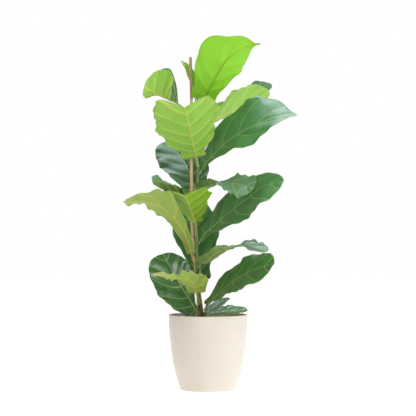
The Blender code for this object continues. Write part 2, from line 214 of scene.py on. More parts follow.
# ---- leaves -----------------------------------------------------------------
class Age(Enum):
    """How far a leaf has ripened."""

    YOUNG = "young"
    HALF_GROWN = "half_grown"
    MATURE = "mature"


@dataclass(frozen=True)
class LeafTones:
    """Colours of one leaf: the glossy upper side, the matt underside, and the veins on both."""

    upper: str = "#57904F"
    upper_deep: str = "#346D3B"
    upper_vein: str = "#A9B878"
    under: str = "#86AC4C"
    under_deep: str = "#6C9A38"
    under_vein: str = "#C2B964"
    edge: str = "#8FA05A"
    gloss: float = .30
    glow: float = .12
    wax: float = .42         # how much of the clear waxed coat the upper side has


@dataclass(frozen=True)
class LeafSkin:
    """Living fiddle leaf, grown: waxed above, duller below, and thin enough to let light through.

    To the eye it is deep green with soft bright sheens above, and paler, warmer and flat below. Cream
    veins run out from the midrib, a fine net lies between them, and the rim is a thin straw-coloured line.
    """

    name: str
    tones: LeafTones

    VEIN_NET_MM = 6.0        # mesh of the fine veins; really 2 to 4 mm, drawn coarser so that it shows
    CLOUD_MM = 55.0          # size of the slow colour changes over a blade
    GRAIN_MM = 1.11111       # grain of the skin; really .1 mm, drawn coarser so that it shows
    LATERAL_MM = (1.5, .7)   # half width of a lateral vein at the midrib and at the margin
    RIB_MM = (2.6, 1.2)      # half width of the midrib at its base and at its tip
    NET_SHARE = .22          # how clearly the fine net shows
    VEIN_SHARES = (.85, .7)  # how clearly the main veins show above and below
    MATT = .55               # roughness of the underside
    WEAR = .14               # how much the roughness varies over a blade

    def material(self) -> bpy.types.Material:
        """Build the leaf's material from its vertex attributes.

        Returns:
            The material.
        """
        t = self.tones
        mat, tree, shader = shader_of(self.name, IOR=1.45, Subsurface_Weight=t.glow, Subsurface_Scale=.004,
                                      Coat_Roughness=.24, Coat_IOR=1.6)
        shader.inputs["Subsurface Radius"].default_value = (.7, 1.0, .25)    # green comes through most
        form = add(tree, "Attribute", attribute_name="leaf_form")
        parts = add(tree, "SeparateColor", {"Color": form.outputs["Color"]})
        across, side, along = parts.outputs["Red"], parts.outputs["Green"], parts.outputs["Blue"]
        veins = add(tree, "Attribute", attribute_name="leaf_veins")
        apart = add(tree, "SeparateColor", {"Color": veins.outputs["Color"]})
        lateral, rib, margin = apart.outputs["Red"], apart.outputs["Green"], apart.outputs["Blue"]
        flat = add(tree, "Attribute", attribute_name="leaf_place")
        place = flat.outputs["Vector"]

        # slow clouds of colour, and a net of fine veins
        cloud = add(tree, "TexNoise", {"Vector": place, "Scale": 1000 / self.CLOUD_MM, "Detail": 3.0,
                                       "Roughness": .55})
        net = add(tree, "TexVoronoi", {"Vector": place, "Scale": 1000 / self.VEIN_NET_MM, "Randomness": .9},
                  feature="DISTANCE_TO_EDGE")
        net_line = add(tree, "MapRange", {"Value": net.outputs["Distance"], "From Min": .0, "From Max": .09,
                                          "To Min": 1.0, "To Max": 0.0})
        # widths run down from the midrib to the margin
        width = add(tree, "MapRange", {"Value": across, "To Min": self.LATERAL_MM[0],
                                       "To Max": self.LATERAL_MM[1]})
        share = add(tree, "Math", {0: lateral, 1: width.outputs["Result"]}, operation="DIVIDE")
        lateral_line = add(tree, "MapRange", {"Value": share.outputs[0], "From Min": .35, "From Max": 1.0,
                                              "To Min": 1.0, "To Max": 0.0}, interpolation_type="SMOOTHSTEP")
        rib_width = add(tree, "MapRange", {"Value": along, "To Min": self.RIB_MM[0],
                                           "To Max": self.RIB_MM[1]})
        rib_share = add(tree, "Math", {0: rib, 1: rib_width.outputs["Result"]}, operation="DIVIDE")
        rib_line = add(tree, "MapRange", {"Value": rib_share.outputs[0], "From Min": .5, "From Max": 1.0,
                                          "To Min": 1.0, "To Max": 0.0}, interpolation_type="SMOOTHSTEP")
        line = add(tree, "Math", {0: lateral_line.outputs["Result"], 1: rib_line.outputs["Result"]},
                   operation="MAXIMUM")
        halo = add(tree, "MapRange", {"Value": share.outputs[0], "From Min": .6, "From Max": 4.5,
                                      "To Min": .3, "To Max": 0.0})
        blend = add(tree, "Math", {0: cloud.outputs["Fac"], 1: halo.outputs["Result"]}, operation="ADD",
                    use_clamp=True)
        edge_line = add(tree, "MapRange", {"Value": margin, "From Min": .2, "From Max": 1.1,
                                           "To Min": .5, "To Max": 0.0})

        def face_colour(deep: str, light: str, vein: str, strength: float) -> Any:
            """Colour of one side of the blade.

            Args:
                deep: Darkest tone.
                light: Lightest tone.
                vein: Tone of the veins.
                strength: How clearly the main veins show.

            Returns:
                The socket that carries the colour.
            """
            base = add(tree, "Mix", {0: blend.outputs[0], 6: linear(deep), 7: linear(light)},
                       data_type="RGBA")
            fine = add(tree, "Math", {0: net_line.outputs["Result"], 1: self.NET_SHARE},
                       operation="MULTIPLY")
            netted = add(tree, "Mix", {0: fine.outputs[0], 6: base.outputs[2], 7: linear(vein)},
                         data_type="RGBA")
            drawn = add(tree, "Math", {0: line.outputs[0], 1: strength}, operation="MULTIPLY")
            return add(tree, "Mix", {0: drawn.outputs[0], 6: netted.outputs[2], 7: linear(vein)},
                       data_type="RGBA").outputs[2]

        upper = face_colour(t.upper_deep, t.upper, t.upper_vein, self.VEIN_SHARES[0])
        under = face_colour(t.under_deep, t.under, t.under_vein, self.VEIN_SHARES[1])
        colour = add(tree, "Mix", {0: side, 6: under, 7: upper}, data_type="RGBA")
        edged = add(tree, "Mix", {0: edge_line.outputs["Result"], 6: colour.outputs[2], 7: linear(t.edge)},
                    data_type="RGBA")
        tree.links.new(edged.outputs[2], shader.inputs["Base Color"])

        rough = add(tree, "MapRange", {"Value": side, "To Min": self.MATT, "To Max": t.gloss})
        wear = add(tree, "Math", {0: cloud.outputs["Fac"], 1: self.WEAR, 2: rough.outputs["Result"]},
                   operation="MULTIPLY_ADD")
        tree.links.new(wear.outputs[0], shader.inputs["Roughness"])
        wax = add(tree, "Math", {0: side, 1: t.wax}, operation="MULTIPLY")
        tree.links.new(wax.outputs[0], shader.inputs["Coat Weight"])

        grain = add(tree, "TexNoise", {"Vector": place, "Scale": 1000 / self.GRAIN_MM, "Detail": 2.0})
        height = add(tree, "Math", {0: net_line.outputs["Result"], 1: -.5, 2: grain.outputs["Fac"]},
                     operation="MULTIPLY_ADD")
        bump = add(tree, "Bump", {"Height": height.outputs[0], "Strength": .35, "Distance": .0006})
        tree.links.new(bump.outputs["Normal"], shader.inputs["Normal"])
        return mat


# 13 rows cross each half: where a row ends at the margin and starts on the midrib, as shares of its length
BLADE_ROWS = ((-.012, .000), (-.040, .004), (-.060, .010), (-.020, .022), (.10, .045), (.25, .095),
              (.40, .175), (.56, .28), (.70, .405), (.83, .55), (.93, .71), (.985, .89), (1.0, 1.0))
CUPPED_ROWS = ((-.01, .00), (.04, .04), (.09, .09), (.15, .15), (.22, .22), (.24, .27), (.22, .33),
               (.22, .40), (.38, .50), (.58, .66), (.80, .82), (.95, .95), (1.0, 1.0))
NOTCH_ROWS = (0, 0, 0, 0, 0, 0, 0, 0, 0, .35, .7, 1.0, 0)        # how far a notched tip carries each row on
LAST_ROW = 12.0
VEIN_ROWS = (3.2, 5.1, 6.7, 8.2, 9.6, 10.9)          # rows of the blade that run along a lateral vein
NARROWEST = 2.5          # half width of the blade where it grows out of the stalk, in mm
FULL_LOBE = 40.0         # half width of a lobe that reaches fully back past the stalk, in mm
FULL_SWELL = 40.0        # half width from which the blade swells up fully, in mm
SOFT_FOLD = 5.0          # how far from the midrib a fold reaches its full angle, in mm
ROW_SWEEP = 1.45         # how strongly the rows bend forward towards the margin
LOBE_ROWS = (0.0, .4, .8, 1.2, 1.6, 2.0, 2.4, 2.8)                   # rings below the first lateral
LATERAL_STEPS = (0, .04, .09, .17, .28, .40, .52, .64, .76, .86, .93, .97)   # rings between two laterals
ACROSS_STEPS = (0, .016, .034, .06, .10, .16, .24, .33, .43, .53, .63, .73, .82, .90, .96, 1.0)
LATERAL_SHAPE = (1.1, .9, .30)    # a lateral vein's spread, height below the blade and groove above, in mm
RIB_SHAPE = (1.9, 2.0, .25)       # the midrib's, where it is thickest


@dataclass
class Leaf:
    """One leaf: stalk and blade in one closed skin. Sizes in mm, angles in degrees."""

    name: str
    node: float              # height of the stalk's foot on the stem
    midrib: tuple[Point, ...]
    face: tuple[Point, ...]  # direction the upper side looks in, base ... tip
    left: tuple[float, ...]  # half width at the lobe, waist, middle, shoulder and near the tip
    right: tuple[float, ...]
    fold_left: tuple[float, ...] = (8, 8)       # how far the half is raised, base ... tip
    fold_right: tuple[float, ...] = (8, 8)
    curl_left: tuple[float, ...] = (0, 0)       # how much more the left half has turned at its margin
    wave: float = 3.0        # height of the waves along the margins
    notch: tuple[float, float] = (0.0, 0.0)     # how far the shoulders run on past the tip, left and right
    blunt: tuple[float, float] = (.52, .52)     # share of the width near the tip that the last corner keeps
    cupped: bool = False     # whether the left half has no lobe and curls in instead
    age: Age = Age.MATURE
    tones: LeafTones = field(default_factory=lambda: GREEN)
    quilt: float = 2.4       # how far the blade swells up between its laterals
    stalk_radius: float = 2.2
    blade: float = 1.0       # thickness
    ruffle: float = .3       # how uneven the outline is; 1 is a strongly scalloped margin
    phase: float = 0.0       # shifts the waves and the colour clouds, so that no two leaves match

    def __post_init__(self) -> None:
        """Measure the midrib once."""
        steps = np.linspace(0, len(self.midrib) - 1, 24 * (len(self.midrib) - 1) + 1)
        self.line = spline(self.midrib, steps)
        gaps = np.linalg.norm(np.diff(self.line, axis=0), axis=1)
        self.reach = np.concatenate([[0.0], np.cumsum(gaps)])
        self.length = float(self.reach[-1])

    def heading(self, share: np.ndarray) -> np.ndarray:
        """Find the direction of growth along the midrib.

        Args:
            share: Places, as shares of the midrib's length.

        Returns:
            One unit vector per place.
        """
        at = np.clip(share, 0, 1) * self.length
        span = self.length * .01
        ends = [np.stack([np.interp(np.clip(at + d, 0, self.length), self.reach, self.line[:, k])
                          for k in range(3)], -1) for d in (-span, span)]
        return unit(ends[1] - ends[0])

    def point(self, share: np.ndarray) -> np.ndarray:
        """Find points of the midrib; it runs on straight before its base and past its tip.

        Args:
            share: Places, as shares of the midrib's length.

        Returns:
            One point per place, in mm.
        """
        at = share * self.length
        inside = np.stack([np.interp(at, self.reach, self.line[:, k]) for k in range(3)], -1)
        ends = self.heading(np.array([0.0, 1.0]))
        before, past = np.minimum(at, 0)[..., None], np.maximum(at - self.length, 0)[..., None]
        return inside + before * ends[0] + past * ends[1]

    def frame(self, share: np.ndarray) -> tuple[np.ndarray, np.ndarray, np.ndarray]:
        """Find the midrib's own axes.

        Args:
            share: Places, as shares of the midrib's length.

        Returns:
            Points in mm, directions to the right side and directions of the upper side.
        """
        ahead = self.heading(share)
        face = np.stack([spread([f[k] for f in self.face], share) for k in range(3)], -1)
        face = unit(face - dot(face, ahead) * ahead)
        return self.point(share), np.cross(ahead, face), face

    def half_width(self, sizes: tuple[float, ...], blunt: float, row: np.ndarray) -> np.ndarray:
        """Find the half width of the blade.

        Args:
            sizes: The five sizes of the half's outline, in mm.
            blunt: Share of the last size that the last corner keeps.
            row: Rows to read it at.

        Returns:
            One half width per row, in mm.
        """
        lobe, waist, middle, shoulder, tip = sizes
        below = max(.6 * shoulder + .4 * tip, .5 * (shoulder + tip))
        knots = [0.0, .35 * lobe, .66 * lobe, .95 * lobe, lobe, waist, .5 * (waist + middle), middle,
                 shoulder, below, tip, blunt * tip]
        knots = [max(width, NARROWEST) for width in knots] + [.8]
        return np.maximum(spline(knots, row)[..., 0], .8)

    def half_blade(self, row: np.ndarray, v: np.ndarray, right: bool) -> dict[str, np.ndarray]:
        """Work out one half of the blade.

        Args:
            row: Row of each point, 0 to 12.
            v: Place across of each point, 0 at the midrib to 1 at the margin.
            right: Whether it is the right half.

        Returns:
            Middle surface, normals, and what the material reads, by name.
        """
        table = CUPPED_ROWS if self.cupped and not right else BLADE_ROWS
        sizes = self.right if right else self.left
        side_sign = 1.0 if right else -1.0
        sweep = v ** ROW_SWEEP

        def share_of(rows: np.ndarray) -> np.ndarray:
            """Find how far along the midrib the points lie if they belong to other rows.

            Args:
                rows: Row of each point.

            Returns:
                Share of the midrib's length, one per point.
            """
            margin, root = np.moveaxis(spline(table, rows), -1, 0)
            back = np.where((rows > .5) & (margin < 0), min(sizes[0] / FULL_LOBE, 1.0), 1.0)
            margin = margin * back + self.notch[int(right)] * spline(NOTCH_ROWS, rows)[..., 0]
            return root + (margin - root) * sweep

        share = share_of(row)
        scallops = (.030 * np.sin(17 * share + self.phase * 9 + side_sign)
                    + .024 * np.sin(43 * share + self.phase * 5 - side_sign)
                    + .010 * np.sin(87 * share + self.phase * 3))
        rim = self.half_width(sizes, self.blunt[int(right)], row) * (1 + self.ruffle * scallops)
        reach = rim * v
        centre, side, face = self.frame(share)
        side = side * side_sign
        fold = np.radians(spread(self.fold_right if right else self.fold_left, share))
        curl = np.radians(spread((0, 0) if right else self.curl_left, share)) * reach / max(sizes)
        soft = np.minimum(reach / SOFT_FOLD, 1.0)
        lift, lean = (((fold + part * curl) * soft)[..., None] for part in (.5, 1.0))
        out = side * np.cos(lift) + face * np.sin(lift)
        normal = face * np.cos(lean) - side * np.sin(lean)
        outward = (reach / max(sizes)) ** 2
        base_wave = np.sin(math.tau * (3 * share + (0 if right else .37)))
        small_turn = math.tau * (8.3 * share + self.phase + .2 * side_sign)
        small_wave = (.25 + .6 * self.ruffle) * np.sin(small_turn) * v ** 3
        ripple = self.wave * outward * (base_wave + small_wave)
        # distance to the nearest lateral, and how far the blade swells up between two laterals
        gaps = np.stack([np.abs(share - share_of(np.full_like(row, k))) for k in VEIN_ROWS], -1)
        lateral = gaps.min(-1) * self.length * .85
        swell = self.quilt * np.sin(math.pi * between_laterals(row)) ** 2
        swell = swell * np.sqrt(np.clip(v * (1.12 - v) * 4, 0, 1)) * np.clip(rim / FULL_SWELL, 0, 1)
        place = centre + out * reach[..., None] + normal * (ripple + swell)[..., None]
        return {"place": place, "normal": normal, "lateral": lateral, "rib": reach, "margin": rim - reach,
                "share": share, "v": v, "across": reach * side_sign}

    def ridges(self, half: dict[str, np.ndarray]) -> tuple[np.ndarray, np.ndarray]:
        """Raise the veins below the blade and sink their grooves above it.

        Args:
            half: What half_blade returned.

        Returns:
            Height of the veins below and depth of the grooves above, in mm.
        """
        fade = 1 - .8 * half["v"]
        lateral = np.exp(-(half["lateral"] / LATERAL_SHAPE[0]) ** 2) * fade
        rib = np.exp(-(half["rib"] / RIB_SHAPE[0]) ** 2) * np.clip(1.15 - half["share"], .15, 1)
        below, above = (a * lateral + b * rib for a, b in zip(LATERAL_SHAPE[1:], RIB_SHAPE[1:]))
        return below, above

    def blade_rings(self) -> tuple[np.ndarray, dict[str, np.ndarray]]:
        """Rings round the blade from base to tip, with the material's numbers.

        Returns:
            Points in mm and the vertex attributes.
        """
        rows = list(LOBE_ROWS)
        stops = list(VEIN_ROWS) + [LAST_ROW]
        for low, high in zip(stops, stops[1:]):
            rows += [low + (high - low) * s for s in LATERAL_STEPS]
        rows = np.array(rows + [LAST_ROW - .03, LAST_ROW])
        v = np.array(ACROSS_STEPS)
        grid_row, grid_v = np.meshgrid(rows, v, indexing="ij")
        left = self.half_blade(grid_row, grid_v, False)
        right = self.half_blade(grid_row, grid_v, True)
        both = {key: np.concatenate([left[key][:, :0:-1], right[key]], axis=1) for key in left}
        below, above = self.ridges(both)
        half = .5 * self.blade * np.clip(both["margin"] / 1.2, .35, 1)
        upper = both["place"] + both["normal"] * (half - above)[..., None]
        lower = both["place"] - both["normal"] * (half + below)[..., None]
        rings = np.concatenate([upper, lower[:, ::-1]], axis=1)
        return rings, self.attributes(both)

    def attributes(self, both: dict[str, np.ndarray]) -> dict[str, np.ndarray]:
        """Collect the numbers that the material reads, round each ring.

        Args:
            both: What half_blade returned, for both halves side by side.

        Returns:
            Vertex attribute name to four numbers per point.
        """
        ones = np.ones_like(both["v"])

        def ring(*parts: np.ndarray, side: bool = False) -> np.ndarray:
            """Lay three numbers over the upper side and back under the lower one.

            Args:
                *parts: The three numbers of each point of the upper side.
                side: Whether the second number is 0 underneath.

            Returns:
                Four numbers per point.
            """
            top = np.stack([*parts, ones], -1)
            under = top[:, ::-1].copy()
            if side:
                under[..., 1] = 0.0
            return np.concatenate([top, under], axis=1)

        place = (both["across"] * MM, both["share"] * self.length * MM, 0 * ones + self.phase)
        return {"leaf_form": ring(both["v"], ones, both["share"], side=True),
                "leaf_veins": ring(both["lateral"], both["rib"], both["margin"]),
                "leaf_place": ring(*place)}

    def stalk_rings(self, foot: np.ndarray, stem_radius: float, count: int) -> np.ndarray:
        """Round sections of the stalk, from the stem to the base of the blade.

        Args:
            foot: Centre of the stem at the stalk's node, mm.
            stem_radius: Radius of the stem there, mm.
            count: Number of rings.

        Returns:
            Points in mm, one row per ring.
        """
        zero = np.zeros(1)
        base, _, face = (part[0] for part in self.frame(zero))
        ahead = self.heading(zero)[0]
        out = base - foot
        out[2] = 0.0
        out = unit(out)
        rise = unit(unit(base - foot) + out * .6)
        start = foot + out * (stem_radius + .5 + self.stalk_radius * abs(rise[2]) + .1)
        pull = np.linalg.norm(base - start)
        t = np.linspace(0, .80, count)[:, None]
        place = ((2 * t ** 3 - 3 * t ** 2 + 1) * start + (t ** 3 - 2 * t ** 2 + t) * pull * rise
                 + (3 * t ** 2 - 2 * t ** 3) * base + (t ** 3 - t ** 2) * pull * ahead)
        along = unit(np.gradient(place, axis=0))
        up = unit(face - dot(along, face) * along)
        side = np.cross(along, up)
        size = self.stalk_radius * (1 + .25 * np.exp(-((t - .02) / .1) ** 2) - .1 * np.sin(math.pi * t))
        half = 2 * len(ACROSS_STEPS) - 1
        angle = math.pi * ((np.arange(half) + .5) / half - .5)
        top = [place + size * (side * math.sin(a) + up * math.cos(a)) for a in angle]
        under = [place + size * (side * math.sin(a) - up * math.cos(a)) for a in angle]
        return np.stack(top + under[::-1], axis=1)

    def build(self, stem: "Stem") -> bpy.types.Object:
        """Model the leaf and dress it.

        Args:
            stem: The stem that it grows from.

        Returns:
            The leaf.
        """
        blade, layers = self.blade_rings()
        stalk = self.stalk_rings(stem.centre(self.node), stem.radius(self.node), 12)
        rings = np.concatenate([stalk, blade])
        for key, values in layers.items():
            first = np.repeat(values[:1], len(stalk), axis=0)
            if key == "leaf_veins":
                first[..., 0], first[..., 1], first[..., 2] = 9.0, 0.0, 9.0
            layers[key] = np.concatenate([first, values])
        skin = LeafSkin(f"living_leaf_{self.name}", self.tones)
        return finish_piece(wrap(rings, layers), f"{self.name}_blade", [skin.material()],
                            (self.name,))


def between_laterals(row: np.ndarray) -> np.ndarray:
    """Find how far each row lies from one lateral to the next.

    Args:
        row: Rows of the blade.

    Returns:
        0 at one lateral to 1 at the next.
    """
    stops = np.array((0.0,) + VEIN_ROWS + (LAST_ROW,))
    first = np.clip(np.searchsorted(stops, row, side="right") - 1, 0, len(stops) - 2)
    return (row - stops[first]) / (stops[first + 1] - stops[first])


# ---- stem, stake and buds ---------------------------------------------------
@dataclass
class Stem:
    """Slim woody stem with a small swelling at each leaf."""

    line: tuple[Point, ...]
    nodes: tuple[float, ...]     # heights of the leaves' stalks
    foot_radius: float = 4.8
    tip_radius: float = 3.0

    def centre(self, height: float) -> np.ndarray:
        """Centre of the stem at a height."""
        points = np.array(self.line, float)
        return np.array([np.interp(height, points[:, 2], points[:, k]) for k in range(3)])

    def radius(self, height: float) -> float:
        """Plain radius of the stem at a height."""
        low, high = self.line[0][2], self.line[-1][2]
        return self.foot_radius + (self.tip_radius - self.foot_radius) * (height - low) / (high - low)

    def build(self) -> bpy.types.Object:
        """Model the stem and give it its bark.

        Returns:
            The stem.
        """
        rings = []
        turn = np.linspace(0, math.tau, 24, endpoint=False)
        for z in np.arange(self.line[0][2], self.line[-1][2] + .1, 3.0):
            near = min(abs(z - node) for node in self.nodes)
            grow = 1 + .10 * math.exp(-(near / 5) ** 2)
            spots = [Vector((2 * math.cos(a), 2 * math.sin(a), z * .06)) for a in turn]
            ridge = 1 + .03 * np.array([noise.noise(spot) for spot in spots])
            r = self.radius(z) * grow * ridge
            c = self.centre(z)
            rings.append(np.stack([c[0] + r * np.cos(turn), c[1] + r * np.sin(turn), turn * 0 + z], -1))
        return finish_piece(wrap(np.array(rings)), "woody_stem", [Bark().material()], ("stem",))


@dataclass(frozen=True)
class Bark:
    """Young fig bark, grown: green above, turning brown and corky below.

    To the eye it is dull, patchy olive with fine lengthwise cracks that catch the light.
    """

    green: str = "#7C9560"
    olive: str = "#5F7044"
    brown: str = "#6B5A40"

    CRACK_MM = (1.11111, 11.1111)    # width and length of a crack
    PATCH_MM = 26.3158               # size of a patch of colour

    def material(self) -> bpy.types.Material:
        """Build the bark material.

        Returns:
            The material.
        """
        mat, tree, shader = shader_of("young_fig_bark", IOR=1.45)
        place = add(tree, "TexCoord").outputs["Object"]
        wide, long = (1000 / size for size in self.CRACK_MM)
        drawn = add(tree, "Mapping", {"Vector": place, "Scale": (wide, wide, long)})
        cracks = add(tree, "TexNoise", {"Vector": drawn.outputs[0], "Scale": 1.0, "Detail": 4.0,
                                        "Roughness": .6})
        patch = add(tree, "TexNoise", {"Vector": place, "Scale": 1000 / self.PATCH_MM, "Detail": 3.0})
        high = add(tree, "SeparateXYZ", {"Vector": place})
        rise = add(tree, "MapRange", {"Value": high.outputs["Z"], "From Min": .2, "From Max": .62})
        mixed = add(tree, "Math", {0: patch.outputs["Fac"], 1: .8, 2: rise.outputs["Result"]},
                    operation="MULTIPLY_ADD")
        ramp = add(tree, "ValToRGB", {"Fac": mixed.outputs[0]})
        stops = ramp.color_ramp.elements
        stops[0].color, stops[0].position = linear(self.brown), .25
        stops[1].color, stops[1].position = linear(self.green), 1.2 / 1.3
        stops.new(.6).color = linear(self.olive)
        tree.links.new(ramp.outputs["Color"], shader.inputs["Base Color"])
        shader.inputs["Roughness"].default_value = .62
        bump = add(tree, "Bump", {"Height": cracks.outputs["Fac"], "Strength": .6, "Distance": .0005})
        tree.links.new(bump.outputs["Normal"], shader.inputs["Normal"])
        return mat


@dataclass
class Stake:
    """Plain round wooden stick with a chamfered top."""

    line: tuple[Point, ...]
    radius: float = 4.1

    def build(self) -> bpy.types.Object:
        """Model the stick and give it its wood.

        Returns:
            The stick.
        """
        points = np.array(self.line, float)
        high = points[-1, 2]
        heights = [*np.arange(points[0, 2], high - 4, 6.0), high - 3, high - 1.2, high - .3, high]
        turn = np.linspace(0, math.tau, 28, endpoint=False)
        rings = []
        for z in heights:
            c = [np.interp(z, points[:, 2], points[:, k]) for k in range(2)]
            r = self.radius * min(1.0, .72 + .28 * math.sqrt(max(high - z, 0) / 3))
            rings.append(np.stack([c[0] + r * np.cos(turn), c[1] + r * np.sin(turn), turn * 0 + z], -1))
        return finish_piece(wrap(np.array(rings)), "wooden_stake", [StakeWood().material()],
                            ("support_stake",))


@dataclass(frozen=True)
class StakeWood:
    """Untreated pine, turned to a stick.

    To the eye it is pale and slightly pink, matt, with fine lengthwise grain.
    """

    pale: str = "#EBCBA6"
    grain: str = "#CFA67C"

    FIBRE_MM = (.769231, 33.3333)    # width and length of a fibre; really .1 mm wide, drawn coarser to show

    def material(self) -> bpy.types.Material:
        """Build the wood material.

        Returns:
            The material.
        """
        mat, tree, shader = shader_of("untreated_pine_stick", IOR=1.45, Roughness=.6)
        place = add(tree, "TexCoord").outputs["Object"]
        wide, long = (1000 / size for size in self.FIBRE_MM)
        drawn = add(tree, "Mapping", {"Vector": place, "Scale": (wide, wide, long)})
        fibre = add(tree, "TexNoise", {"Vector": drawn.outputs[0], "Scale": 1.0, "Detail": 5.0,
                                       "Roughness": .65})
        tone = add(tree, "Mix", {0: fibre.outputs["Fac"], 6: linear(self.grain), 7: linear(self.pale)},
                   data_type="RGBA")
        tree.links.new(tone.outputs[2], shader.inputs["Base Color"])
        bump = add(tree, "Bump", {"Height": fibre.outputs["Fac"], "Strength": .4, "Distance": .0003})
        tree.links.new(bump.outputs["Normal"], shader.inputs["Normal"])
        return mat


@dataclass
class Buds:
    """Dried bud scales at the leaf scars and the sheath over the growing tip."""

    scales: tuple[tuple[float, float], ...]
    tip: Point
    stand_off: float = 2.1      # from the stem to the middle of a scale, mm
    sheath: float = 30.0        # length of the sheath, mm
    tones: tuple[str, str] = ("#3E2115", "#6A3B26")
    folds: tuple[float, float] = (1.11111, 6.25)    # width and length of a fold, mm

    def papery(self) -> bpy.types.Material:
        """Build the dried scales' material: papery, grown and withered.

        To the eye it is a dull red-brown, with painted shade that darkens it in its lengthwise folds.

        Returns:
            The material.
        """
        mat, tree, shader = shader_of("papery_dried_scale", IOR=1.4, Roughness=.7)
        place = add(tree, "TexCoord").outputs["Object"]
        wide, long = (1000 / size for size in self.folds)
        streak = add(tree, "Mapping", {"Vector": place, "Scale": (wide, wide, long)})
        fold = add(tree, "TexNoise", {"Vector": streak.outputs[0], "Scale": 1.0, "Detail": 3.0})
        deep, light = (linear(tone) for tone in self.tones)
        # the deep tone falls where the bump sinks into the folds: painted shade in the folds, over the
        # scale's own red-brown
        tone = add(tree, "Mix", {0: fold.outputs["Fac"], 6: deep, 7: light}, data_type="RGBA")
        tree.links.new(tone.outputs[2], shader.inputs["Base Color"])
        bump = add(tree, "Bump", {"Height": fold.outputs["Fac"], "Strength": .7, "Distance": .0004})
        tree.links.new(bump.outputs["Normal"], shader.inputs["Normal"])
        return mat

    def build(self, stem: Stem) -> None:
        """Model every scale and the sheath.

        Args:
            stem: The stem that they sit on.
        """
        mat = self.papery()
        for index, (height, heading) in enumerate(self.scales):
            turn = math.radians(heading)
            shape = bmesh.new()
            bmesh.ops.create_uvsphere(shape, u_segments=20, v_segments=14, radius=1.0)
            spot = stem.centre(height)
            out = stem.radius(height) + self.stand_off
            for vert in shape.verts:
                up = .5 * (vert.co.z + 1)
                x = vert.co.x * 1.1 + 2.2 * up ** 2 + out
                y = vert.co.y * 2.4 * (1.1 - .7 * up) * (1 + .15 * math.sin(9 * up + 3 * vert.co.x))
                vert.co = Vector((spot[0] + x * math.cos(turn) - y * math.sin(turn),
                                  spot[1] + x * math.sin(turn) + y * math.cos(turn), height + 11 * up)) * MM
            finish_piece(shape, f"dried_scale_{index + 1}", [mat], (f"bud_scale_{index + 1}",))
        shape = bmesh.new()
        bmesh.ops.create_cone(shape, cap_ends=True, segments=24, radius1=2.9 * MM, radius2=.5 * MM,
                              depth=self.sheath * MM)
        bmesh.ops.subdivide_edges(shape, edges=shape.edges, cuts=3, use_grid_fill=True)
        x, y, z = self.tip
        for vert in shape.verts:
            up = vert.co.z / (self.sheath * MM) + .5
            vert.co.x += .0012 * math.sin(2.5 * up)
            vert.co += Vector((x, y, z + .5 * self.sheath + .5)) * MM
        finish_piece(shape, "growing_tip_sheath", [mat], ("terminal_bud",))


